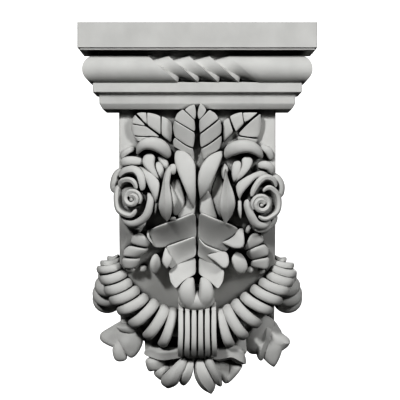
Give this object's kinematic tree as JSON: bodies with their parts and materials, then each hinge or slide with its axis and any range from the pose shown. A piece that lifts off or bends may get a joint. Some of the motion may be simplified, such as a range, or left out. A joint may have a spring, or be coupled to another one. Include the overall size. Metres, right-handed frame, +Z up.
{
  "type": "corbel",
  "caption": "Cast plaster wall corbel: a bracket under a moulded cap with a twist-carved roll, carved with roses, leaves, a wound swag and its tie.",
  "frame": {"origin": "centre of the flat back of the bracket and its cap, on the wall plane", "axes": "+Z up, +Y into the wall, so the carved front faces -Y and +X runs along the wall"},
  "size_m": [0.24, 0.191, 0.37],
  "materials": {
    "plaster": "matte cast plaster"
  },
  "bodies": {
    "root": {"corbel": "plaster"}
  },
  "joints": []
}
